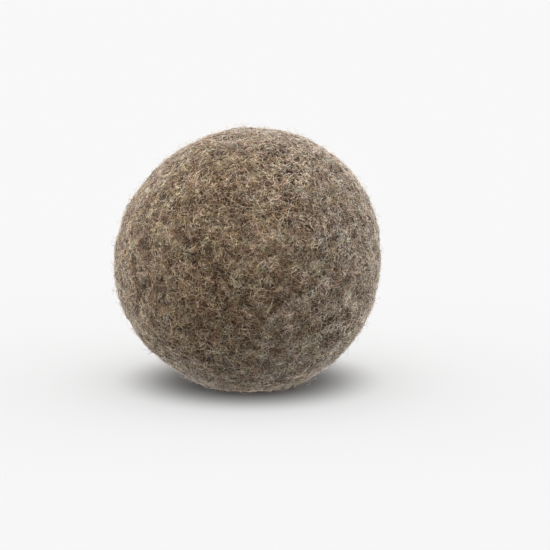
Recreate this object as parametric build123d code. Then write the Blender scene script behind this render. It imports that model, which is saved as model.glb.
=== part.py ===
"""Felted wool dryer ball: a rolled tuft, a wound yarn ball, three crossed wraps and a felt skin.

Units are millimetres and +Z is up. The origin is the centre of the flat spot that the ball rests
on. Every layer is cut against what it covers, so neighbours share a face and nothing overlaps:
the layers of a felted ball hold each other by tangled fibres, with no other fastening.
"""
from build123d import *
import os

# Outside
ball_diameter = 70.0
rest_spot_radius = 13.0       # of the flattened spot, before its edge is rounded
rest_spot_edge = 2.0          # rounding where the ball's side runs into the flattened spot

# Inside, from the middle outwards
tuft_radius = 4.5             # wool sliver rolled into a short tight roll
tuft_length = 15.0
yarn_ball_radius = 15.0       # wool yarn wound round the tuft
wrap_thickness = 5.5          # of each carded strip wound round the ball
wrap_cover = 0.66             # half a strip's width as a share of its outer radius

# The way each strip goes round, as rotations about X, Y and Z, then a spin about its own axis.
# Strips wound by hand cross at roughly right angles, so each leans a few degrees.
wrap_turns = {
    "first_wrap": Rot(7, -4, 0) * Rot(0, 0, 17),      # round the upright axis
    "second_wrap": Rot(5, 90, 12),                    # over the first wrap's open ends
    "third_wrap": Rot(84, 9, 20),                     # over the second wrap's open ends
}

ball_radius = ball_diameter / 2
# The ball's centre is this far above the flattened spot.
centre_height = (ball_radius**2 - rest_spot_radius**2) ** 0.5
centre = Pos(0, 0, centre_height)


def make_outside():
    """The whole ball as one closed shape, flattened where it rests."""
    below = Pos(0, 0, -ball_radius) * Box(2 * ball_diameter, 2 * ball_diameter, 2 * ball_radius)
    ball = centre * Sphere(ball_radius) - below
    spot_edge = ball.edges().filter_by(GeomType.CIRCLE).sort_by(Axis.Z)[0]
    return fillet(spot_edge, rest_spot_edge)


def make_tuft():
    """The short roll that the yarn is started on, with rounded ends, lying along X."""
    straight = tuft_length - 2 * tuft_radius
    roll = Rot(0, 90, 0) * Cylinder(tuft_radius, straight)
    ends = [Pos(side * straight / 2, 0, 0) * Sphere(tuft_radius) for side in (-1, 1)]
    return centre * (roll + ends[0] + ends[1])


def make_belt(outer_radius, turn):
    """A strip wound once round the ball's middle, filled in; turn aims the axis it goes round."""
    width = 2 * wrap_cover * outer_radius
    return centre * turn * (Sphere(outer_radius) & Cylinder(2 * outer_radius, width))


def save(node, solid):
    """Write one sub-part to its own file."""
    solid.label = node
    export_step(solid, f"parts/{node}.step")


def main():
    """Build the layers from the middle outwards and cut each one against what it covers."""
    os.makedirs("parts", exist_ok=True)
    tuft = make_tuft()
    save("core_tuft", tuft)

    yarn_ball = centre * Sphere(yarn_ball_radius)
    save("yarn_core", yarn_ball - tuft)

    inside = yarn_ball
    for layer, (node, turn) in enumerate(wrap_turns.items(), start=1):
        belt = make_belt(yarn_ball_radius + layer * wrap_thickness, turn)
        save(node, belt - inside)
        inside = inside + belt

    save("outer_felt", make_outside() - inside)


main()
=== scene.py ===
"""Looks of a felted wool dryer ball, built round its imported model.

The felt skin is a lumpy, matted ground with tens of thousands of curled wool fibres lying in and
on it. Under the skin are three wound wraps of carded wool, a ball of plied yarn and a rolled tuft.
"""

import logging
import math
from dataclasses import dataclass
from enum import Enum
from typing import Callable, Mapping, Optional, Sequence, Union

import bmesh
import bpy
import numpy as np
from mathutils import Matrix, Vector


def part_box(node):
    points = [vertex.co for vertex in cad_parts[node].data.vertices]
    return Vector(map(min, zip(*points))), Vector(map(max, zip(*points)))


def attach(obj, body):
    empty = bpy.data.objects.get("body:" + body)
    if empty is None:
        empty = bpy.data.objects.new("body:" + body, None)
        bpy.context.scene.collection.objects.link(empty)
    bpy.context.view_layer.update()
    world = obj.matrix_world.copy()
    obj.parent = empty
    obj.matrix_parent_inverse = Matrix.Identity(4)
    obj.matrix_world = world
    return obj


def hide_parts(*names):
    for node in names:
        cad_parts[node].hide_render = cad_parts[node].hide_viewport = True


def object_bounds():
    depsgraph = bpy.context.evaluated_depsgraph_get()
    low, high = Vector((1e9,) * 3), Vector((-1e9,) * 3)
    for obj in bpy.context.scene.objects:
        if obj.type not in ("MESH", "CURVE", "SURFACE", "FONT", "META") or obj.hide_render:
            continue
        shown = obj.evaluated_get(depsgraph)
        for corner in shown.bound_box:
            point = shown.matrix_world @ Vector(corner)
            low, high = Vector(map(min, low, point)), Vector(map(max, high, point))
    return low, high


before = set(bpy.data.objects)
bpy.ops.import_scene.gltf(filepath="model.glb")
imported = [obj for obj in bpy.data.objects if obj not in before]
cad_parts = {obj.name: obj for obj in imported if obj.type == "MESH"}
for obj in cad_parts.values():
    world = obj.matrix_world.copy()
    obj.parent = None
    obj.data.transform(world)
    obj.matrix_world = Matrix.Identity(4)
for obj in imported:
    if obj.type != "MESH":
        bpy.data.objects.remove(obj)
CAD_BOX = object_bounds()

LOG = logging.getLogger("felt_ball")
MM = 0.001
BODY = "root"

Array = np.ndarray
Colour = tuple[float, float, float]


# ---- Shader graphs ----

Value = Union["Signal", float, Sequence[float]]


class Signal:
    """A node's output that takes part in Python arithmetic."""

    def __init__(self, graph: "Graph", socket: bpy.types.NodeSocket) -> None:
        """Hold the socket and the graph it belongs to."""
        self.graph = graph
        self.socket = socket

    def _math(self, operation: str, first: Value, second: Value) -> "Signal":
        """Add one Math node."""
        return self.graph.node("ShaderNodeMath", {0: first, 1: second}, operation=operation)

    def __add__(self, other: Value) -> "Signal":
        """Self plus other."""
        return self._math("ADD", self, other)

    def __rsub__(self, other: Value) -> "Signal":
        """Other minus self."""
        return self._math("SUBTRACT", other, self)

    def __mul__(self, other: Value) -> "Signal":
        """Self times other."""
        return self._math("MULTIPLY", self, other)

    def __rmul__(self, other: Value) -> "Signal":
        """Other times self."""
        return self._math("MULTIPLY", other, self)


class Graph:
    """The node tree of a material or a world, with one method that adds any node."""

    def __init__(self, owner: Union[bpy.types.Material, bpy.types.World]) -> None:
        """Start from an empty tree.

        Args:
            owner: The material or world whose nodes are made.
        """
        owner.use_nodes = True
        self.tree = owner.node_tree
        self.tree.nodes.clear()

    def node(self, kind: str, sockets: Optional[Mapping[Union[str, int], Value]] = None,
             output: Union[str, int] = 0, **settings: object) -> Signal:
        """Add a node: its settings first, then the values or links of its sockets.

        Args:
            kind: The node's type name.
            sockets: Input name or index to a value or a signal.
            output: The output that is wanted, by name or index.
            **settings: The node's own properties; stops gives a ramp's (position, colour) pairs.

        Returns:
            The wanted output.
        """
        made = self.tree.nodes.new(kind)
        for key, value in settings.items():
            if key == "stops":
                self._set_stops(made.color_ramp.elements, value)
            else:
                setattr(made, key, value)
        for key, value in (sockets or {}).items():
            if isinstance(value, Signal):
                self.tree.links.new(value.socket, made.inputs[key])
            else:
                made.inputs[key].default_value = value
        return Signal(self, made.outputs[output] if made.outputs else None)

    @staticmethod
    def _set_stops(elements: bpy.types.ColorRampElements,
                   stops: Sequence[tuple[float, Colour]]) -> None:
        """Give a ramp its stops.

        Args:
            elements: The ramp's elements, which start as two.
            stops: Position and colour of each stop, in order.
        """
        while len(elements) < len(stops):
            elements.new(1.0)
        for element, (position, colour) in zip(elements, stops):
            element.position = position
            element.color = (*colour, 1.0)

    def mix(self, factor: Value, first: Value, second: Value, blend: str = "MIX") -> Signal:
        """Mix two colours.

        Args:
            factor: 0 gives the first colour, 1 the second.
            first: A colour or a colour signal.
            second: A colour or a colour signal.
            blend: The blend mode's name.

        Returns:
            The mixed colour.
        """
        colours = {6: first, 7: second}
        sockets = {k: v if isinstance(v, Signal) else (*v, 1.0) for k, v in colours.items()}
        return self.node("ShaderNodeMix", {0: factor, **sockets}, output=2,
                         data_type="RGBA", blend_type=blend)

    def place(self, output: str = "Object") -> Signal:
        """The point's place in the frame, or with Generated the direction into the world."""
        return self.node("ShaderNodeTexCoord", output=output)

    def noise(self, where: Signal, scale: float, detail: float = 3.0,
              roughness: float = 0.6) -> Signal:
        """Sample cloudy noise between about 0.3 and 0.7, in cycles per metre."""
        return self.node("ShaderNodeTexNoise", {"Vector": where, "Scale": scale, "Detail": detail,
                                                "Roughness": roughness})

    def coloured_noise(self, where: Signal, scale: float) -> Signal:
        """Sample noise with a value of its own for each of red, green and blue."""
        return self.node("ShaderNodeTexNoise", {"Vector": where, "Scale": scale, "Detail": 2.0},
                         output="Color")

    def swirl(self, where: Signal, scale: float, reach: float) -> Signal:
        """Drag places about, so that what is drawn there runs in curls.

        Args:
            where: The point's place in the frame.
            scale: Curls per metre.
            reach: How far a place may be dragged, in metres.

        Returns:
            The dragged place.
        """
        push = self.vector("MULTIPLY", self.coloured_noise(where, scale), (reach, reach, reach))
        return self.vector("ADD", where, push)

    def vector(self, operation: str, first: Value, second: Value = (0.0, 0.0, 0.0),
               output: str = "Vector") -> Signal:
        """Add one Vector Math node."""
        return self.node("ShaderNodeVectorMath", {0: first, 1: second}, output=output,
                         operation=operation)

    def outward(self, where: Signal, middle: Colour) -> Signal:
        """Direction from the ball's middle, at each point of the surface."""
        return self.vector("NORMALIZE", self.vector("SUBTRACT", where, middle))

    def lean(self, outward: Signal, amount: float) -> Signal:
        """The surface normal, leaned towards the felt's own slope.

        Args:
            outward: Direction from the ball's middle.
            amount: 0 keeps the normal; a large value gives the outward direction.

        Returns:
            The new normal.
        """
        normal = self.node("ShaderNodeNewGeometry", output="Normal")
        shift = self.vector("MULTIPLY", outward, (amount, amount, amount))
        return self.vector("NORMALIZE", self.vector("ADD", normal, shift))

    def drift(self, wool: Signal, outward: Signal) -> Signal:
        """Let the wool's colour drift over the ball: warmer to one side, greyer to the other.

        Args:
            wool: The wool's colour.
            outward: Direction from the ball's middle.

        Returns:
            The drifted colour.
        """
        warm = self.vector("DOT_PRODUCT", outward, WARM_SIDE, "Value")
        grey = self.vector("DOT_PRODUCT", outward, GREY_SIDE, "Value")
        wool = self.mix(self.spread(warm, 0.2, 1.0), wool, Shade.WARM.value, "MULTIPLY")
        return self.mix(self.spread(grey, 0.3, 1.0), wool, Shade.GREY.value, "MULTIPLY")

    def tint(self, wool: Signal, where: Signal, scale: float = 380.0,
             depth: float = 0.5) -> Signal:
        """Give small tufts a hue of their own, redder, greener or greyer.

        Args:
            wool: The wool's colour.
            where: The point's place in the frame.
            scale: Tufts per metre.
            depth: How far each of red, green and blue may move.

        Returns:
            The tinted colour.
        """
        gain = self.vector("MULTIPLY", self.coloured_noise(where, scale),
                           (depth, depth / 2.0, depth))
        gain = self.vector("ADD", gain, (1.0 - depth / 2.0, 1.0 - depth / 4.0, 1.0 - depth / 2.0))
        return self.vector("MULTIPLY", wool, gain)

    def spread(self, value: Signal, low: float, high: float) -> Signal:
        """Stretch the range low to high over 0 to 1, smoothly."""
        return self.node("ShaderNodeMapRange", {"Value": value, "From Min": low, "From Max": high},
                         interpolation_type="SMOOTHSTEP")

    def grain(self, height: Signal, strength: float) -> Signal:
        """The surface normal over a raised grain that is at most 0.3 mm high."""
        return self.node("ShaderNodeBump", {"Height": height, "Strength": strength,
                                            "Distance": 0.3 * MM}, output="Normal")

    def end(self, sockets: Mapping[Union[str, int], Value]) -> None:
        """End a material in one Principled shader with these inputs."""
        shader = self.node("ShaderNodeBsdfPrincipled", sockets)
        self.node("ShaderNodeOutputMaterial", {"Surface": shader})


# ---- Wool colours and finishes ----

class Tone(Enum):
    """Natural colours of undyed wool, as linear red, green and blue."""

    PEAT = (0.034, 0.021, 0.012)
    BROWN = (0.190, 0.125, 0.080)
    RUSSET = (0.330, 0.170, 0.105)
    MOSS = (0.275, 0.228, 0.145)
    TAN = (0.450, 0.340, 0.225)
    OCHRE = (0.500, 0.350, 0.160)
    SLATE = (0.300, 0.278, 0.245)
    GREY = (0.470, 0.420, 0.350)
    ECRU = (0.700, 0.590, 0.445)
    CREAM = (0.900, 0.820, 0.700)


class Shade(Enum):
    """What wool's colour is multiplied by, where it is darker or its hue drifts."""

    STREAK = (0.44, 0.36, 0.29)
    MOTTLE = (0.29, 0.20, 0.13)
    CLUMP = (0.42, 0.32, 0.235)
    WARM = (1.0, 0.93, 0.80)
    GREY = (0.94, 0.97, 1.0)


# The directions that the wool's colour drifts in
WARM_SIDE = (-0.55, -0.75, 0.35)
GREY_SIDE = (0.85, -0.45, -0.1)


@dataclass(frozen=True)
class FibreFinish:
    """Wool fibres that each have a colour of their own, drawn from a blend."""

    name: str
    blend: tuple[tuple[float, Tone], ...]
    ball_middle: Colour
    roughness: float = 0.6
    sheen: float = 1.0
    felt_slope: float = 1.6
    patch_scale: float = 75.0
    patch_depth: float = 0.06
    clump_scale: float = 240.0
    curl_scale: float = 150.0
    curl_reach: float = 0.009
    mottle_scale: float = 350.0
    mottle_depth: float = 1.0
    streak_scale: float = 1500.0
    streak_depth: float = 0.9
    glow_through: float = 0.1

    def make(self) -> bpy.types.Material:
        """Build the material.

        Returns:
            A material whose colour changes from fibre to fibre, along it, and over patches.
        """
        material = bpy.data.materials.new(self.name)
        graph = Graph(material)
        where = graph.place()
        own = graph.node("ShaderNodeNewGeometry", output="Random Per Island")
        patch = graph.spread(graph.noise(where, self.patch_scale, 2.0), 0.36, 0.64)
        streak = graph.spread(graph.noise(where, self.streak_scale, 1.0), 0.3, 0.7)
        clump = graph.spread(graph.noise(where, self.clump_scale, 2.0), 0.39, 0.60)
        curled = graph.swirl(where, self.curl_scale, self.curl_reach)
        mottle = graph.spread(graph.noise(curled, self.mottle_scale, 3.0, 0.7), 0.41, 0.59)
        pick = own * (1.0 - self.patch_depth) + patch * self.patch_depth
        stops = [(position, tone.value) for position, tone in self.blend]
        wool = graph.node("ShaderNodeValToRGB", {"Fac": pick}, stops=stops)
        wool = graph.mix(streak * self.streak_depth, wool, Shade.STREAK.value, "MULTIPLY")
        if self.mottle_depth > 0.0:
            dark = graph.mix(self.mottle_depth, wool, Shade.MOTTLE.value, "MULTIPLY")
            wool = graph.mix(mottle, dark, wool)
            dark = graph.mix(0.5 + 0.5 * self.mottle_depth, wool, Shade.CLUMP.value, "MULTIPLY")
            wool = graph.mix(clump, dark, wool)
        outward = graph.outward(where, self.ball_middle)
        graph.end({
            "Base Color": graph.drift(graph.tint(wool, where), outward),
            "Roughness": self.roughness, "Specular IOR Level": 0.25,
            "Sheen Weight": self.sheen, "Sheen Roughness": 0.38,
            "Sheen Tint": (1.0, 0.95, 0.88, 1.0),
            "Subsurface Weight": self.glow_through, "Subsurface Radius": (1.0, 0.95, 0.88),
            "Subsurface Scale": 0.1 * MM, "Normal": graph.lean(outward, self.felt_slope)})
        return material


@dataclass(frozen=True)
class MattedFinish:
    """The deep layer of matted wool that shows between the fibres on top, its dark colour partly
    the wool's own and partly painted shade of the gaps.
    """

    name: str
    dark: Tone
    light: Tone
    roughness: float = 0.9
    patch_scale: float = 70.0
    curl_scale: float = 420.0
    curl_reach: float = 0.0035
    streak_scale: float = 900.0
    grain_scale: float = 2600.0

    def make(self) -> bpy.types.Material:
        """Build the material.

        Returns:
            A matted wool material with fine streaks, pits and larger patches.
        """
        material = bpy.data.materials.new(self.name)
        graph = Graph(material)
        where = graph.place()
        streaks = graph.node("ShaderNodeTexWave", {
            "Vector": graph.swirl(where, self.curl_scale, self.curl_reach),
            "Scale": self.streak_scale, "Distortion": 9.0, "Detail": 3.0, "Detail Scale": 2.0},
            wave_type="BANDS", bands_direction="DIAGONAL")
        fine = graph.noise(where, self.grain_scale, 3.0)
        patch = graph.spread(graph.noise(where, self.patch_scale, 2.0), 0.35, 0.65)
        amount = streaks * 0.45 + fine * 0.35 + patch * 0.3
        wool = graph.mix(graph.spread(amount, 0.25, 0.85), self.dark.value, self.light.value)
        graph.end({
            "Base Color": wool, "Roughness": self.roughness, "Specular IOR Level": 0.15,
            "Sheen Weight": 0.2, "Sheen Roughness": 0.5,
            "Normal": graph.grain(streaks * 0.5 + fine, 0.6)})
        return material


@dataclass(frozen=True)
class CombedFinish:
    """Combed wool, with fine streaks that run round a winding's axis."""

    name: str
    dark: Tone
    light: Tone
    ball_middle: Colour
    axis: Colour
    roughness: float = 0.85
    patch_scale: float = 120.0
    curl_scale: float = 160.0
    curl_reach: float = 0.0022
    streak_scale: float = 1700.0
    grain_scale: float = 2400.0

    def make(self) -> bpy.types.Material:
        """Build the material.

        Returns:
            A material with streaks round the axis, soft patches and a raised grain.
        """
        material = bpy.data.materials.new(self.name)
        graph = Graph(material)
        where = graph.place()
        curled = graph.swirl(where, self.curl_scale, self.curl_reach)
        offset = graph.vector("SUBTRACT", curled, self.ball_middle)
        along = graph.vector("DOT_PRODUCT", offset, self.axis, "Value")
        away = graph.vector("LENGTH", offset, output="Value")
        lane = graph.node("ShaderNodeCombineXYZ", {"X": along, "Y": away})
        streaks = graph.noise(lane, self.streak_scale, 3.0, 0.6)
        patch = graph.noise(where, self.patch_scale, 2.0)
        fine = graph.noise(where, self.grain_scale, 2.0)
        amount = graph.spread(streaks * 0.45 + patch * 0.25 + fine * 0.3, 0.34, 0.64)
        wool = graph.mix(amount, self.dark.value, self.light.value)
        graph.end({
            "Base Color": graph.tint(wool, where), "Roughness": self.roughness,
            "Specular IOR Level": 0.2, "Sheen Weight": 0.6, "Sheen Roughness": 0.4,
            "Sheen Tint": (1.0, 0.96, 0.9, 1.0),
            "Normal": graph.grain(streaks + fine * 0.5, 0.7)})
        return material


# ---- Geometry helpers ----

class SoftNoise:
    """Smooth random values in space, the same on every run."""

    FAR_AWAY = 1000.0    # cells from the lattice's start to the middle of the ball

    def __init__(self, seed: int, size: int = 48) -> None:
        """Fill a lattice of random values between -1 and 1."""
        self.size = size
        self.lattice = np.random.default_rng(seed).uniform(-1.0, 1.0, (size, size, size))

    def at(self, points: Array, wavelength: float) -> Array:
        """Sample the noise.

        Args:
            points: Points in space, the last axis of length 3.
            wavelength: Distance between lattice points, in the points' own unit.

        Returns:
            One value between -1 and 1 for each point.
        """
        scaled = points / wavelength + self.FAR_AWAY
        cell = np.floor(scaled).astype(np.int64)
        part = ease(scaled - cell)
        near = cell % self.size
        far = (cell + 1) % self.size
        total = np.zeros(points.shape[:-1])
        for corner in range(8):
            pick = [(corner >> axis) & 1 for axis in range(3)]
            index = tuple((far if pick[axis] else near)[..., axis] for axis in range(3))
            weight = np.ones(points.shape[:-1])
            for axis in range(3):
                weight *= part[..., axis] if pick[axis] else 1.0 - part[..., axis]
            total += weight * self.lattice[index]
        return total


def unit(vectors: Array) -> Array:
    """Scale vectors to length 1."""
    return vectors / np.maximum(np.linalg.norm(vectors, axis=-1, keepdims=True), 1e-12)


def direction(turn: Array, lean: Array) -> Array:
    """Unit vectors at a turn round an axis and a lean from its middle towards it, in radians."""
    return np.stack([np.cos(lean) * np.cos(turn), np.cos(lean) * np.sin(turn), np.sin(lean)],
                    axis=-1)


def ease(share: Array) -> Array:
    """Go from 0 to 1 with a soft start and end."""
    return share * share * (3.0 - 2.0 * share)


def random_directions(rng: np.random.Generator, count: int) -> Array:
    """Directions spread evenly over a sphere."""
    return unit(rng.normal(size=(count, 3)))


def add_piece(name: str, points: Array, faces: Sequence[Array],
              material: bpy.types.Material, replaces: str) -> bpy.types.Object:
    """Make and report a mesh piece, in metres in the frame, riding on the ball's one body.

    Args:
        name: The piece's name.
        points: Corner points in millimetres.
        faces: Arrays of corner indices, one array for each number of corners.
        material: The piece's material.
        replaces: The plain node that this piece stands for.

    Returns:
        The new object.
    """
    mesh = bpy.data.meshes.new(name)
    mesh.vertices.add(len(points))
    mesh.vertices.foreach_set("co", (points * MM).astype(np.float32).ravel())
    corners = np.concatenate([f.ravel() for f in faces])
    sizes = np.concatenate([np.full(len(f), f.shape[1]) for f in faces])
    starts = np.concatenate([[0], np.cumsum(sizes)[:-1]])
    mesh.loops.add(len(corners))
    mesh.loops.foreach_set("vertex_index", corners.astype(np.int32))
    mesh.polygons.add(len(sizes))
    mesh.polygons.foreach_set("loop_start", starts.astype(np.int32))
    mesh.update(calc_edges=True)
    mesh.shade_smooth()
    mesh.materials.append(material)
    piece = bpy.data.objects.new(name, mesh)
    bpy.context.scene.collection.objects.link(piece)
    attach(piece, BODY)
    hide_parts(replaces)
    LOG.info("%s: %d faces", name, len(sizes))
    return piece


def tubes(paths: Array, radii: Array, outward: Array, sides: int = 3) -> tuple[Array, list[Array]]:
    """Sweep a small polygon along many paths at once.

    Args:
        paths: Points of each path, shaped (strands, steps, 3).
        radii: Radius at each point, shaped (strands, steps).
        outward: A vector across the path at each point, shaped like paths.
        sides: Corners of the polygon.

    Returns:
        The corner points and the faces: side quads and closed ends.
    """
    strands, steps, _ = paths.shape
    run = unit(np.gradient(paths, axis=1))
    across = unit(np.cross(run, outward))
    above = np.cross(across, run)
    turn = np.arange(sides) * (2.0 * np.pi / sides)
    ring = (across[:, :, None, :] * np.cos(turn)[None, None, :, None]
            + above[:, :, None, :] * np.sin(turn)[None, None, :, None])
    points = paths[:, :, None, :] + ring * radii[:, :, None, None]
    index = np.arange(strands * steps * sides).reshape(strands, steps, sides)
    following = np.roll(index, -1, axis=2)
    quads = np.stack([index[:, :-1], following[:, :-1], following[:, 1:], index[:, 1:]], axis=-1)
    ends = np.concatenate([index[:, 0, ::-1], index[:, -1]])
    return points.reshape(-1, 3), [quads.reshape(-1, 4), ends]


def sphere_grid(count: int) -> tuple[Array, Array]:
    """Directions over a whole sphere on an even net of squares.

    Args:
        count: Squares along each edge of the cube that the net is blown up from.

    Returns:
        Unit directions, and the corner indices of each square.
    """
    net = bmesh.new()
    bmesh.ops.create_cube(net, size=2.0)
    bmesh.ops.subdivide_edges(net, edges=net.edges[:], cuts=count - 1, use_grid_fill=True)
    net.verts.ensure_lookup_table()
    corners = np.array([v.co for v in net.verts])
    squares = np.array([[v.index for v in f.verts] for f in net.faces])
    net.free()
    return unit(np.tan(corners * (math.pi / 4.0))), squares


def ring_grid(around: int, across: int) -> Array:
    """Corner indices of the squares of a net that closes on itself both ways.

    Args:
        around: Corners round the ring, whose indices follow one another.
        across: Corners across it.

    Returns:
        Four corner indices for each square.
    """
    nearer = np.arange(around * across).reshape(across, around)
    further = np.roll(nearer, -1, axis=0)
    squares = [nearer, np.roll(nearer, -1, axis=1), np.roll(further, -1, axis=1), further]
    return np.stack(squares, axis=-1).reshape(-1, 4)


def turned(lean_x: float, lean_y: float) -> Array:
    """Axes of a winding whose own axis leans from upright.

    Args:
        lean_x: Turn about X in degrees.
        lean_y: Turn about Y in degrees, made first.

    Returns:
        A matrix whose rows are the winding's two sideways directions and its axis.
    """
    a, b = math.radians(lean_x), math.radians(lean_y)
    about_x = np.array([[1, 0, 0], [0, math.cos(a), -math.sin(a)], [0, math.sin(a), math.cos(a)]])
    about_y = np.array([[math.cos(b), 0, math.sin(b)], [0, 1, 0], [-math.sin(b), 0, math.cos(b)]])
    return (about_x @ about_y).T


# ---- The ball's outer shape ----

@dataclass(frozen=True)
class Swell:
    """A broad rise or hollow that felting leaves in a ball.

    The direction is given by its turn round the upright axis and its angle above the horizon.
    """

    azimuth: float
    elevation: float
    spread: float
    height: float

    def lift(self, directions: Array) -> Array:
        """Height that the swell adds.

        Args:
            directions: Unit vectors from the ball's centre.

        Returns:
            Millimetres for each direction.
        """
        middle = direction(np.radians(self.azimuth), np.radians(self.elevation))
        angle = np.arccos(np.clip(directions @ middle, -1.0, 1.0))
        return self.height * np.exp(-((angle / math.radians(self.spread)) ** 2))


@dataclass(frozen=True)
class Lumps:
    """Felting lumps of one size, in millimetres; the shift sets them apart from other sizes."""

    height: float
    spacing: float
    shift: float = 0.0


@dataclass
class BallForm:
    """The ball's true surface: round, gently lumpy and flattened where it rests."""

    radius: float
    centre_height: float
    swells: tuple[Swell, ...] = (
        Swell(0, 40, 26, 0.75),
        Swell(180, 50, 26, -0.95),
        Swell(180, -28, 22, 0.5),
        Swell(0, -12, 24, -0.45),
        Swell(180, 2, 18, 0.35),
        Swell(90, 30, 30, 0.5),
        Swell(60, -20, 25, -0.4),
        Swell(270, 15, 22, 0.2),
        Swell(180, -52, 16, -1.0),
        Swell(0, -60, 13, -0.9),
    )
    lump_sizes: tuple[Lumps, ...] = (
        Lumps(0.14, 11.0),
        Lumps(0.30, 5.0, 31.7),
        Lumps(0.26, 2.3, 77.1),
    )
    foot_swell: float = 0.12      # height of the bulge just above the flattened spot
    foot_level: float = -0.915    # where that bulge is, as the direction's Z
    foot_width: float = 0.05
    foot_blend: float = 0.15      # rounding where the side meets the flattened spot
    seed: int = 11

    def __post_init__(self) -> None:
        """Make the noise that the lumps come from."""
        self.noise = SoftNoise(self.seed)

    def lumps(self, directions: Array) -> Array:
        """Height of broad swells and felting lumps over the true sphere, in millimetres.

        Args:
            directions: Unit vectors from the ball's centre.

        Returns:
            One height for each direction.
        """
        points = directions * self.radius
        rise = sum(swell.lift(directions) for swell in self.swells)
        off_foot = (directions[..., 2] - self.foot_level) / self.foot_width
        rise = rise + self.foot_swell * np.exp(-(off_foot**2))
        for lumps in self.lump_sizes:
            rise = rise + lumps.height * self.noise.at(points + lumps.shift, lumps.spacing)
        return rise

    def place(self, directions: Array, height: Array) -> Array:
        """Put points at a height over the felt's surface, pressed flat where the ball rests.

        Args:
            directions: Unit vectors from the ball's centre.
            height: Millimetres above the surface.

        Returns:
            Points in the frame, in millimetres.
        """
        reach = self.radius + self.lumps(directions) + height
        points = directions * reach[..., None]
        level = points[..., 2] + self.centre_height
        points[..., 2] = 0.5 * (level + np.sqrt(level**2 + self.foot_blend**2))
        return points


# ---- Fibres ----

def fade_ends(along: Array) -> Array:
    """Rise from 0 at both ends of a fibre to 1 a fifth of the way along it."""
    return np.clip(np.minimum(along, 1.0 - along) * 5.0, 0.0, 1.0)


@dataclass(frozen=True)
class FibreCrop:
    """One kind of wool fibre on the ball: how many, how long, how curly and how proud.

    Lengths are millimetres. A pair of numbers is a range that each fibre draws from.
    """

    name: str
    count: int
    steps: int
    step_length: float
    radius: tuple[float, float]
    bend_radius: tuple[float, float]
    waver: float
    crimp: float
    height: tuple[float, float]
    wave: float
    seed: int
    lift_ends: float = 0.0
    shares: int = 1
    crimp_length: tuple[float, float] = (1.8, 4.0)
    rolls: tuple[float, float] = (0.6, 1.7)
    buried_ends: float = 0.35

    def grow(self, form: BallForm) -> tuple[Array, Array, Array]:
        """Let every fibre wander over the ball.

        Args:
            form: The surface that the fibres lie on.

        Returns:
            The paths, the radius at each point and the outward direction at each point.
        """
        rng = np.random.default_rng(self.seed)
        here = random_directions(rng, self.count)
        heading = unit(np.cross(here, random_directions(rng, self.count)))
        bend = rng.choice([-1.0, 1.0], self.count) / rng.uniform(*self.bend_radius, self.count)
        crimp_phase = rng.uniform(0.0, 2.0 * np.pi, self.count)
        crimp_rate = 2.0 * np.pi / rng.uniform(*self.crimp_length, self.count)
        trail = np.empty((self.count, self.steps, 3))
        step_angle = self.step_length / form.radius
        for step in range(self.steps):
            trail[:, step] = here
            bend += rng.normal(scale=self.waver, size=self.count)
            wiggle = np.cos(crimp_phase + crimp_rate * step * self.step_length)
            turn = ((bend + self.crimp * crimp_rate * wiggle) * self.step_length)[:, None]
            side = np.cross(here, heading)
            heading = unit(heading * np.cos(turn) + side * np.sin(turn))
            here = unit(here + heading * step_angle)
            heading = unit(heading - here * np.sum(here * heading, axis=1, keepdims=True))
        along = np.linspace(0.0, 1.0, self.steps)[None, :]
        middle = rng.uniform(*self.height, (self.count, 1))
        phase = rng.uniform(0.0, 2.0 * np.pi, (self.count, 1))
        rate = rng.uniform(*self.rolls, (self.count, 1))
        height = middle + self.wave * np.sin(phase + 2.0 * np.pi * rate * along)
        ends = fade_ends(along)
        height = height * ends - self.buried_ends * (1.0 - ends)
        if self.lift_ends > 0.0:
            # The last five eighths of the fibre curve up and away from the felt.
            loose = rng.uniform(0.0, self.lift_ends, (self.count, 1))
            height = height + loose * np.clip(along * 1.6 - 0.6, 0.0, 1.0) ** 1.5
        thick = rng.uniform(*self.radius, (self.count, 1))
        # Both ends taper to about a third of the thickness.
        taper = np.clip(np.minimum(along + 0.08, 1.08 - along) * 4.0, 0.25, 1.0)
        return form.place(trail, height), thick * taper, trail


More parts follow.
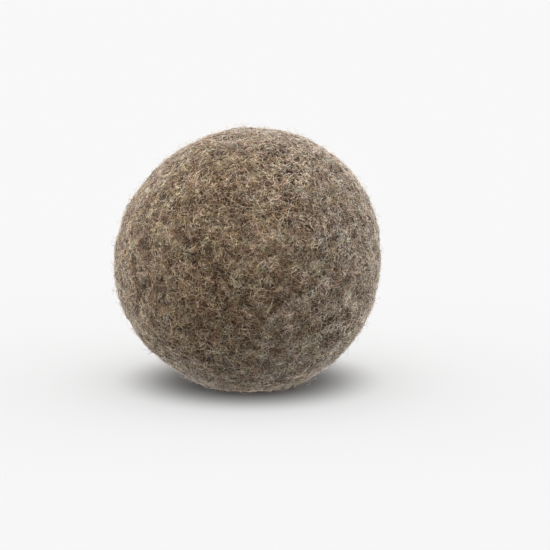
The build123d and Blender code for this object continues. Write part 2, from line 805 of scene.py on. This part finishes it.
@dataclass
class OuterFelt:
    """The felted skin: a matted ground and the fibres that lie in and on it."""

    form: BallForm
    grid: int = 104
    ground_depth: float = 0.3
    crops: tuple[FibreCrop, ...] = (
        FibreCrop("deep_fibres", count=12000, steps=5, step_length=1.0, radius=(0.055, 0.10),
                  bend_radius=(1.0, 5.0), waver=0.16, crimp=0.2, height=(-0.28, 0.08),
                  wave=0.12, seed=21, shares=3),
        FibreCrop("curled_fibres", count=14000, steps=8, step_length=0.68, radius=(0.055, 0.105),
                  bend_radius=(0.8, 5.0), waver=0.22, crimp=0.25, height=(-0.12, 0.32),
                  wave=0.2, seed=22, shares=4),
        FibreCrop("short_fibres", count=34000, steps=4, step_length=0.42, radius=(0.05, 0.105),
                  bend_radius=(0.7, 4.0), waver=0.3, crimp=0.3, height=(-0.1, 0.36),
                  wave=0.1, seed=27, shares=4),
        FibreCrop("pale_fibres", count=3600, steps=12, step_length=0.7, radius=(0.05, 0.095),
                  bend_radius=(1.2, 7.0), waver=0.18, crimp=0.15, height=(0.05, 0.40),
                  wave=0.2, seed=23, shares=2),
        FibreCrop("fine_fibres", count=7600, steps=10, step_length=0.7, radius=(0.036, 0.062),
                  bend_radius=(1.0, 8.0), waver=0.18, crimp=0.15, height=(0.1, 0.5),
                  wave=0.2, seed=24, shares=3),
        FibreCrop("nap_fibres", count=22000, steps=5, step_length=0.45, radius=(0.030, 0.048),
                  bend_radius=(0.7, 4.0), waver=0.3, crimp=0.2, height=(0.1, 0.4),
                  wave=0.05, lift_ends=1.4, seed=26, shares=3),
        FibreCrop("stray_fibres", count=2000, steps=12, step_length=0.55, radius=(0.024, 0.040),
                  bend_radius=(1.0, 4.0), waver=0.2, crimp=0.2, height=(0.2, 0.5),
                  wave=0.1, lift_ends=2.6, seed=25),
    )

    def build(self, ground: MattedFinish, finishes: Mapping[str, FibreFinish]) -> None:
        """Make the ground and every crop of fibres.

        Args:
            ground: The finish of the matted layer.
            finishes: Crop name to finish.
        """
        self._build_ground(ground.make())
        for crop in self.crops:
            self._build_crop(crop, finishes[crop.name].make())

    def _build_ground(self, material: bpy.types.Material) -> None:
        """Make the matted surface as one closed, evenly meshed skin.

        Args:
            material: The matted layer's material.
        """
        directions, quads = sphere_grid(self.grid)
        points = self.form.place(directions, np.full(len(directions), -self.ground_depth))
        piece = add_piece("felt_ground", points, [quads], material, "outer_felt")

    def _build_crop(self, crop: FibreCrop, material: bpy.types.Material) -> None:
        """Make one crop of fibres, shared out over a few meshes.

        Args:
            crop: The fibres to grow.
            material: Their material.
        """
        paths, radii, outward = crop.grow(self.form)
        share = math.ceil(crop.count / crop.shares)
        for number in range(crop.shares):
            pick = slice(number * share, (number + 1) * share)
            points, faces = tubes(paths[pick], radii[pick], outward[pick])
            add_piece(f"{crop.name}_{number + 1}", points, faces, material,
                      "outer_felt")


# ---- The wool inside ----

@dataclass(frozen=True)
class Roll:
    """A short round-ended roll lying along X, as a reach from its middle in each direction."""

    radius: float
    length: float

    def reach(self, directions: Array) -> Array:
        """Distance from the roll's middle to its surface.

        Args:
            directions: Unit vectors from the roll's middle.

        Returns:
            Millimetres for each direction.
        """
        half = self.length / 2.0 - self.radius
        along = np.abs(directions[..., 0])
        across = np.sqrt(np.maximum(1.0 - along**2, 1e-9))
        side = self.radius / across
        ahead = half * along
        end = ahead + np.sqrt(np.maximum(ahead**2 - half**2 + self.radius**2, 0.0))
        return np.where(side * along <= half, side, end)


@dataclass
class WoolTuft:
    """The tuft in the middle: a sliver of combed wool rolled up tight."""

    height: float
    roll: Roll
    grid: int = 64
    coils: float = 2.5
    seam_depth: float = 0.45
    seam_width: float = 0.3
    relief: float = 0.16
    fibre_spread: float = 1.1
    seed: int = 41

    def build(self, finish: CombedFinish, fibre: FibreFinish) -> None:
        """Make the roll, its spiral seam and the fibres that lie round it.

        Args:
            finish: The finish of the roll.
            fibre: The finish of its loose fibres.
        """
        directions, squares = sphere_grid(self.grid)
        points = directions * self._surface(directions)[:, None]
        points[:, 2] += self.height
        piece = add_piece("tuft_roll", points, [squares], finish.make(), "core_tuft")
        combed = CombedFibres(count=700, steps=12, step_length=0.7, radius=(0.025, 0.045),
                              waver=0.05, seed=self.seed)
        paths, radii, outward = combed.lay(turned(0.0, 90.0), self.fibre_spread, self._surface)
        paths[..., 2] += self.height
        points, faces = tubes(paths, radii, outward)
        add_piece("tuft_fibres", points, faces, fibre.make(), "core_tuft")

    def _surface(self, directions: Array) -> Array:
        """Distance from the middle to the roll's surface, with its seam and soft relief.

        Args:
            directions: Unit vectors from the roll's middle.

        Returns:
            Millimetres for each direction.
        """
        reach = self.roll.reach(directions)
        points = directions * reach[..., None]
        girth = np.hypot(points[..., 1], points[..., 2]) / self.roll.radius
        turn = np.arctan2(points[..., 2], points[..., 1]) - 2.0 * np.pi * self.coils * girth
        off_seam = np.angle(np.exp(1j * turn)) * np.maximum(girth, 0.15)
        seam = self.seam_depth * np.exp(-((off_seam / self.seam_width) ** 2))
        # Fine streaks run round the roll, over softer rises.
        noise = SoftNoise(self.seed + 1)
        combed = noise.at(points * np.array([1.0, 0.3, 0.3]), 0.5)
        soft = noise.at(points + 9.1, 2.0)
        return reach - seam - self.relief * (2.0 + combed + soft)


@dataclass
class YarnBall:
    """Two-ply wool yarn wound by hand round the tuft into a tight ball."""

    height: float
    radius: float
    hollow: Roll
    turns: int = 62
    turns_each_way: int = 7
    steps_per_turn: int = 104
    yarn_radius: float = 0.72
    ply_pitch: float = 4.2
    ply_closeness: float = 0.9    # plies lie closer than side by side
    ply_plumpness: float = 1.1    # and press into each other
    ply_unevenness: float = 0.12
    depth: float = 1.1            # the first turn lies this far below the last
    spacing: float = 1.7
    straight_share: float = 0.86  # of a bundle of turns, before the yarn swings to the next
    tip_step: float = 67.0        # degrees from bundle to bundle
    spin_step: float = 111.0
    wobble: float = 0.12
    clearance: float = 0.14
    furrow_depth: float = 0.25
    heart_grid: int = 40
    seed: int = 51

    def build(self, heart: CombedFinish, ply_finishes: Sequence[FibreFinish]) -> None:
        """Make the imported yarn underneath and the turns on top.

        Args:
            heart: The finish of the yarn that the top turns hide.
            ply_finishes: A finish for each ply.
        """
        self._build_heart(heart.make())
        path, outward = self._wind()
        plies = len(ply_finishes)
        for number, finish in enumerate(ply_finishes):
            points, faces = self._ply(path, outward, 2.0 * np.pi * number / plies, plies)
            add_piece(f"yarn_ply_{number + 1}", points, faces, finish.make(),
                      "yarn_core")

    def _build_heart(self, material: bpy.types.Material) -> None:
        """Make the yarn below the top turns as a thick shell with the tuft's hollow in it.

        Args:
            material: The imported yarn's material.
        """
        directions, squares = sphere_grid(self.heart_grid)
        # The turns wound first lie partly in this shell, as they do in the real winding.
        reach = self.radius - 2.0 * self.yarn_radius - self.depth * 0.6
        furrows = self.furrow_depth * SoftNoise(self.seed).at(directions * reach, 1.6)
        outer = directions * (reach + furrows)[:, None]
        inner = directions * (self.hollow.reach(directions) + 0.02)[:, None]
        points = np.concatenate([outer, inner])
        points[:, 2] += self.height
        faces = [np.concatenate([squares, squares[:, ::-1] + len(outer)])]
        piece = add_piece("yarn_heart", points, faces, material, "yarn_core")

    def _wind(self) -> tuple[Array, Array]:
        """Wind the yarn: a few turns side by side, then a turn of the ball, over and over.

        Returns:
            The yarn's middle line about the ball's centre, and the outward directions.
        """
        turn = np.arange(self.turns * self.steps_per_turn) / self.steps_per_turn
        bundle = turn / self.turns_each_way
        whole = np.floor(bundle)
        part = bundle - whole
        shift = np.clip((part - self.straight_share) / (1.0 - self.straight_share), 0.0, 1.0)
        heading = whole + ease(shift)
        sideways = np.where(shift <= 0.0, part / self.straight_share, 1.0 - shift) - 0.5
        lean = sideways * self.turns_each_way * self.spacing / self.radius
        loop = direction(2.0 * np.pi * turn, lean)
        tip = heading * math.radians(self.tip_step)
        spin = heading * math.radians(self.spin_step)
        y = loop[:, 1] * np.cos(tip) - loop[:, 2] * np.sin(tip)
        z = loop[:, 1] * np.sin(tip) + loop[:, 2] * np.cos(tip)
        x = loop[:, 0] * np.cos(spin) - y * np.sin(spin)
        y = loop[:, 0] * np.sin(spin) + y * np.cos(spin)
        outward = unit(np.stack([x, y, z], axis=-1))
        noise = SoftNoise(self.seed + 1)
        wobble = self.wobble * noise.at(outward * self.radius + heading[:, None], 6.0)
        top = self.radius - self.yarn_radius - self.clearance
        reach = top - self.depth * (1.0 - turn / self.turns) + wobble
        return outward * reach[:, None], outward

    def _ply(self, path: Array, outward: Array, phase: float,
             plies: int) -> tuple[Array, list[Array]]:
        """Twist one ply along the yarn.

        Args:
            path: The yarn's middle line.
            outward: Outward direction at each point.
            phase: Where the ply starts round the yarn.
            plies: How many plies share the yarn.

        Returns:
            The ply's corner points and faces.
        """
        run = unit(np.gradient(path, axis=0))
        across = unit(np.cross(run, outward))
        above = np.cross(across, run)
        length = np.concatenate([[0.0], np.cumsum(np.linalg.norm(np.diff(path, axis=0), axis=1))])
        twist = (phase + 2.0 * np.pi * length / self.ply_pitch)[:, None]
        ply_radius = self.yarn_radius / plies
        around = across * np.cos(twist) + above * np.sin(twist)
        middle = path + around * ply_radius * self.ply_closeness
        uneven = 1.0 + self.ply_unevenness * SoftNoise(self.seed + 2).at(middle + phase, 1.5)
        radii = ply_radius * self.ply_plumpness * uneven
        middle[:, 2] += self.height
        return tubes(middle[None], radii[None], outward[None], sides=5)


@dataclass(frozen=True)
class Belt:
    """The space of one strip wound round the ball, as a reach from the centre."""

    outer: float
    half_width: float
    axes: Array
    edge_softness: float = 14.0

    def reach(self, directions: Array) -> Array:
        """Distance from the centre to the belt's outside, soft at its edges.

        Args:
            directions: Unit vectors from the ball's centre.

        Returns:
            Millimetres for each direction.
        """
        flat = self.half_width / np.maximum(np.abs(directions @ self.axes[2]), 1e-6)
        power = self.edge_softness
        return self.outer * (1.0 + (self.outer / flat) ** power) ** (-1.0 / power)


@dataclass(frozen=True)
class CombedFibres:
    """Fibres combed one way, lying round a winding, in millimetres."""

    count: int
    steps: int
    step_length: float
    radius: tuple[float, float]
    waver: float
    seed: int
    height: tuple[float, float] = (-0.05, 0.16)
    buried_ends: float = 0.2

    def lay(self, axes: Array, widest: float,
            surface: Callable[[Array], Array]) -> tuple[Array, Array, Array]:
        """Lay the fibres round the winding.

        Args:
            axes: The winding's two sideways directions and its axis.
            widest: How far from the winding's middle the fibres start, as an angle in radians.
            surface: Gives the distance from the centre to the wool in each direction.

        Returns:
            The paths, the radius at each point and the outward direction at each point.
        """
        rng = np.random.default_rng(self.seed)
        shape = (self.count, self.steps)
        lean = rng.uniform(-widest, widest, (self.count, 1))
        reach = surface(axes[0][None])[0]
        drift = np.cumsum(rng.normal(scale=self.waver, size=shape), axis=1)
        lean = lean + np.cumsum(drift, axis=1) * self.step_length / reach
        start = rng.uniform(0.0, 2.0 * np.pi, (self.count, 1))
        advance = self.step_length * np.arange(self.steps)[None, :] / reach
        turn = start + advance / np.maximum(np.cos(lean[:, :1]), 0.3)
        outward = direction(turn, lean) @ axes
        along = np.linspace(0.0, 1.0, self.steps)[None, :]
        ends = fade_ends(along)
        height = rng.uniform(*self.height, (self.count, 1)) * ends
        height = height - self.buried_ends * (1.0 - ends)
        thick = rng.uniform(*self.radius, (self.count, 1)) * np.clip(ends + 0.3, 0.3, 1.0)
        return outward * (surface(outward) + height)[..., None], thick, outward


@dataclass
class WoolWrap:
    """A strip of carded wool wound round the ball over what is already there."""

    node: str
    height: float
    belt: Belt
    core: float
    under: tuple[Belt, ...]
    seed: int
    around: int = 260
    across: int = 56
    least_thickness: float = 0.12
    relief: float = 0.22
    softness: float = 0.15
    streak_stretch: float = 0.14  # streaks are this much finer across than along
    lap_height: float = 0.55
    lap_slant: float = 0.5
    lap_steepness: float = 40.0
    fibres: int = 1700
    fibre_spread: float = 0.92    # share of the strip's width that the fibres cover

    def __post_init__(self) -> None:
        """Make the noise that the relief comes from."""
        self.noise = SoftNoise(self.seed)

    def build(self, finish: CombedFinish, fibre: FibreFinish) -> None:
        """Make the wound strip and the combed fibres on it.

        Args:
            finish: The finish of the strip.
            fibre: The finish of its fibres.
        """
        lean = np.linspace(-1.0, 1.0, self.across)[:, None] * self._edge()
        turn = np.linspace(0.0, 2.0 * np.pi, self.around, endpoint=False)[None, :]
        lean, turn = np.broadcast_arrays(lean, turn)
        directions = direction(turn, lean) @ self.belt.axes
        inner = self._below(directions)
        outer = np.maximum(self._surface(directions), inner + self.least_thickness)
        points = np.concatenate([directions * outer[..., None],
                                 directions[::-1] * inner[::-1][..., None]]).reshape(-1, 3)
        points[:, 2] += self.height
        squares = ring_grid(self.around, 2 * self.across)
        piece = add_piece(f"{self.node}_batt", points, [squares], finish.make(),
                          self.node)
        combed = CombedFibres(self.fibres, steps=10, step_length=1.2, radius=(0.03, 0.055),
                              waver=0.035, seed=self.seed + 1)
        widest = self._edge() * self.fibre_spread
        paths, radii, outward = combed.lay(self.belt.axes, widest, self._surface)
        paths[..., 2] += self.height
        points, faces = tubes(paths, radii, outward)
        add_piece(f"{self.node}_fibres", points, faces, fibre.make(), self.node)

    def _edge(self) -> float:
        """Angle from the strip's middle to where its side meets the wool below, in radians."""
        below = max([self.core] + [belt.outer for belt in self.under])
        return math.asin(self.belt.half_width / below)

    def _below(self, directions: Array) -> Array:
        """Distance from the centre to the wool that this strip covers."""
        return np.max([np.full(directions.shape[:-1], self.core)]
                      + [belt.reach(directions) for belt in self.under], axis=0)

    def _surface(self, directions: Array) -> Array:
        """Distance from the centre to the strip's outside, with its streaks and lapped end.

        Args:
            directions: Unit vectors from the ball's centre.

        Returns:
            Millimetres for each direction.
        """
        local = directions @ self.belt.axes.T
        turn = np.arctan2(local[..., 1], local[..., 0]) + self.lap_slant * local[..., 2]
        spiral = (turn % (2.0 * np.pi)) / (2.0 * np.pi)
        lap = self.lap_height * np.minimum(spiral, (1.0 - spiral) * self.lap_steepness)
        stretch = np.array([self.streak_stretch, self.streak_stretch, 1.0])
        points = local * self.belt.outer * stretch
        streak = self.noise.at(points, 1.3) + 0.6 * self.noise.at(points + 5.3, 0.6)
        soft = self.noise.at(local * self.belt.outer, 6.0)
        relief = self.relief * (1.6 + streak) + self.softness * (1.0 + soft)
        return self.belt.reach(directions) - self.lap_height + lap - relief


# ---- Studio ----

@dataclass
class Studio:
    """A plain pale floor with a painted shadow round the ball's foot, soft light from all round
    and above, and the camera.

    Painted shadow distances are in ball radii, aims in millimetres and lights in the world's
    strength.
    """

    form: BallForm
    distance: float = 0.5
    elevation: float = 10.0
    lens: float = 122.2
    aim_right: float = 7.05
    aim_down: float = 3.9
    floor_size: float = 30.0
    floor_tone: float = 0.195
    floor_glow: float = 0.43
    # The floor's glow is off within the first distance and full from the second: a painted shadow
    painted_shadow_inner: float = 0.47
    painted_shadow_outer: float = 1.1
    backdrop: float = 1.172
    sky_light: float = 2.15
    top_light: float = 4.3
    side_light: float = 2.1
    rim_light: float = 6.5
    left_rim_light: float = 6.0
    low_back_light: float = 1.5

    def build(self) -> None:
        """Make the floor, the lights and the camera."""
        self._build_floor()
        self._build_world()
        self._build_camera()
        view = bpy.context.scene.view_settings
        view.view_transform = "Standard"
        bpy.context.scene.cycles.denoising_prefilter = "NONE"

    def _build_floor(self) -> None:
        """Lay a wide pale floor that glows everywhere but right under the ball, where its shadow
        is painted.

        The ball isn't lit by the floor, so the floor's look and the ball's light are set apart.
        """
        half = self.floor_size / 2.0
        mesh = bpy.data.meshes.new("floor")
        mesh.from_pydata([(-half, -half, 0), (half, -half, 0), (half, half, 0), (-half, half, 0)],
                         [], [(0, 1, 2, 3)])
        material = bpy.data.materials.new("pale_floor_painted_shadow")
        graph = Graph(material)
        away = graph.vector("LENGTH", graph.place(), output="Value") * (1.0 / MM)
        radius = self.form.radius
        # The glow fades out towards the ball's foot, painting the ball's shadow on the floor
        lit = graph.spread(away, self.painted_shadow_inner * radius, self.painted_shadow_outer * radius)
        graph.end({
            "Base Color": (*[self.floor_tone] * 3, 1.0), "Roughness": 1.0,
            "Specular IOR Level": 0.0, "Emission Strength": self.floor_glow,
            "Emission Color": graph.mix(lit, (0.0, 0.0, 0.0), (1.0, 1.0, 1.0))})
        mesh.materials.append(material)
        floor = bpy.data.objects.new("floor", mesh)
        bpy.context.scene.collection.objects.link(floor)
        floor.visible_diffuse = False

    def _build_world(self) -> None:
        """Surround the ball with soft light, brightest overhead and behind, that looks pale."""
        world = bpy.data.worlds.new("studio")
        bpy.context.scene.world = world
        graph = Graph(world)
        place = graph.place("Generated")
        split = graph.node("ShaderNodeSeparateXYZ", {"Vector": place}).socket.node
        across, back, up = (Signal(graph, split.outputs[axis]) for axis in "XYZ")
        sky = graph.spread(up, 0.0, 0.3)
        overhead = graph.spread(up, 0.82, 1.0)
        sides = graph.spread(across * across, 0.05, 0.9) * self.side_light
        beside = (sides + graph.spread(across, 0.1, 0.9)) * graph.spread(up, 0.9, 0.0)
        behind = graph.spread(back, 0.0, 0.6)
        left = graph.spread(across, 0.0, -0.6)
        rim = behind * (left * self.left_rim_light + self.rim_light) * graph.spread(up, 0.45, -0.1)
        below = graph.spread(up, 0.1, -0.5) * behind
        glow = sky * self.sky_light + overhead * self.top_light + beside + rim
        glow = glow + below * self.low_back_light
        seen = graph.node("ShaderNodeLightPath", output="Is Camera Ray")
        strength = glow * (1.0 - seen) + self.backdrop * seen
        shader = graph.node("ShaderNodeBackground", {"Strength": strength})
        graph.node("ShaderNodeOutputWorld", {"Surface": shader})

    def _build_camera(self) -> None:
        """Stand the camera in front of the ball, a little above it."""
        data = bpy.data.cameras.new("camera")
        data.lens = self.lens
        data.clip_end = 100.0
        camera = bpy.data.objects.new("camera", data)
        bpy.context.scene.collection.objects.link(camera)
        tilt = math.radians(self.elevation)
        middle = Vector((0.0, 0.0, self.form.centre_height * MM))
        back = Vector((0.0, -math.cos(tilt), math.sin(tilt)))
        above = Vector((0.0, math.sin(tilt), math.cos(tilt)))
        camera.location = middle + back * self.distance
        aim = middle + Vector((self.aim_right * MM, 0.0, 0.0)) - above * (self.aim_down * MM)
        camera.rotation_euler = (aim - camera.location).to_track_quat("-Z", "Y").to_euler()
        bpy.context.scene.camera = camera


# ---- The whole ball ----

class Wrap(Enum):
    """The wound strips, inner first, with how each one's axis leans about X and Y in degrees."""

    FIRST_WRAP = (7.0, -4.0)
    SECOND_WRAP = (5.0, 90.0)
    THIRD_WRAP = (84.0, 9.0)


WRAP_THICKNESS = 5.5    # of each strip, in millimetres
WRAP_COVER = 0.66       # half a strip's width as a share of its outer radius

# Blends of fibres: where each tone lies between the darkest fibre, 0, and the palest, 1
# Fibres lying deep get a darker blend without pale tones: partly wool colour, partly painted shade
DEEP_PAINTED_SHADE = ((0.0, Tone.PEAT), (0.2, Tone.PEAT), (0.4, Tone.BROWN), (0.55, Tone.RUSSET),
        (0.65, Tone.MOSS), (0.85, Tone.TAN), (1.0, Tone.SLATE))
HEATHER = ((0.0, Tone.PEAT), (0.18, Tone.PEAT), (0.28, Tone.BROWN), (0.36, Tone.RUSSET),
           (0.43, Tone.MOSS), (0.5, Tone.TAN), (0.58, Tone.OCHRE), (0.64, Tone.SLATE),
           (0.70, Tone.GREY), (0.80, Tone.ECRU), (1.0, Tone.CREAM))
PALE = ((0.0, Tone.RUSSET), (0.15, Tone.TAN), (0.3, Tone.OCHRE), (0.45, Tone.GREY),
        (0.7, Tone.ECRU), (1.0, Tone.CREAM))
FUZZ = ((0.0, Tone.TAN), (0.25, Tone.GREY), (0.6, Tone.ECRU), (1.0, Tone.CREAM))
LIGHT_PLY = ((0.0, Tone.TAN), (0.5, Tone.ECRU), (1.0, Tone.CREAM))
GREY_PLY = ((0.0, Tone.BROWN), (0.5, Tone.TAN), (1.0, Tone.GREY))


def build_inside(form: BallForm, middle: Colour) -> None:
    """Build the tuft, the yarn ball and the three wraps.

    Args:
        form: The ball's outer shape.
        middle: The ball's centre in the frame, in metres.
    """
    low, high = (np.array(corner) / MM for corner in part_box("core_tuft"))
    roll = Roll(radius=(high[2] - low[2]) / 2.0, length=high[0] - low[0])
    tuft = CombedFinish("combed_tuft", Tone.TAN, Tone.ECRU, middle, (1.0, 0.0, 0.0))
    loose = FibreFinish("loose_tuft_wool", FUZZ, middle, mottle_depth=0.0)
    WoolTuft(form.centre_height, roll).build(tuft, loose)

    low, high = (np.array(corner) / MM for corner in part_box("yarn_core"))
    core = (high[0] - low[0]) / 2.0
    heart = CombedFinish("packed_yarn", Tone.BROWN, Tone.TAN, middle, (0.6, 0.0, 0.8))
    plies = [FibreFinish("light_ply", LIGHT_PLY, middle, mottle_depth=0.4, felt_slope=0.0),
             FibreFinish("grey_ply", GREY_PLY, middle, mottle_depth=0.4, felt_slope=0.0)]
    YarnBall(form.centre_height, core, roll).build(heart, plies)

    under: tuple[Belt, ...] = ()
    for number, wrap in enumerate(Wrap):
        outer = core + WRAP_THICKNESS * (number + 1)
        belt = Belt(outer, WRAP_COVER * outer, turned(*wrap.value))
        strip = CombedFinish(f"carded_{wrap.name.lower()}", Tone.BROWN, Tone.TAN, middle,
                             tuple(belt.axes[2]))
        fibre = FibreFinish(f"carded_{wrap.name.lower()}_fibres", HEATHER, middle,
                            mottle_depth=0.3)
        WoolWrap(wrap.name.lower(), form.centre_height, belt, core, under,
                 seed=60 + 2 * number).build(strip, fibre)
        under += (belt,)


def main() -> None:
    """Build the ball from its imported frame, then the studio round it."""
    logging.basicConfig(level=logging.INFO, format="%(name)s %(message)s")
    low, high = (Vector(corner) / MM for corner in CAD_BOX)
    radius = (high.x - low.x) / 2.0
    form = BallForm(radius=radius, centre_height=high.z - radius)
    # The matted layer is coloured dark: partly wool colour, partly painted shade between the
    # fibres
    ground = MattedFinish("matted_wool_painted_shade", Tone.PEAT, Tone.BROWN)
    middle = (0.0, 0.0, form.centre_height * MM)
    # The deep fibres are darkened partly as painted shade under the fibres on top
    deep = FibreFinish("deep_wool_painted_shade", DEEP_PAINTED_SHADE, middle)
    heather = FibreFinish("heather_wool", HEATHER, middle)
    pale = FibreFinish("pale_wool", PALE, middle, mottle_depth=0.35, glow_through=0.8)
    fuzz = FibreFinish("fuzz_wool", FUZZ, middle, mottle_depth=0.2, glow_through=1.0)
    OuterFelt(form).build(ground, {
        "deep_fibres": deep, "curled_fibres": heather, "short_fibres": heather,
        "pale_fibres": pale, "fine_fibres": pale, "nap_fibres": fuzz, "stray_fibres": fuzz})
    build_inside(form, middle)
    Studio(form).build()


if __name__ == "__main__":
    main()
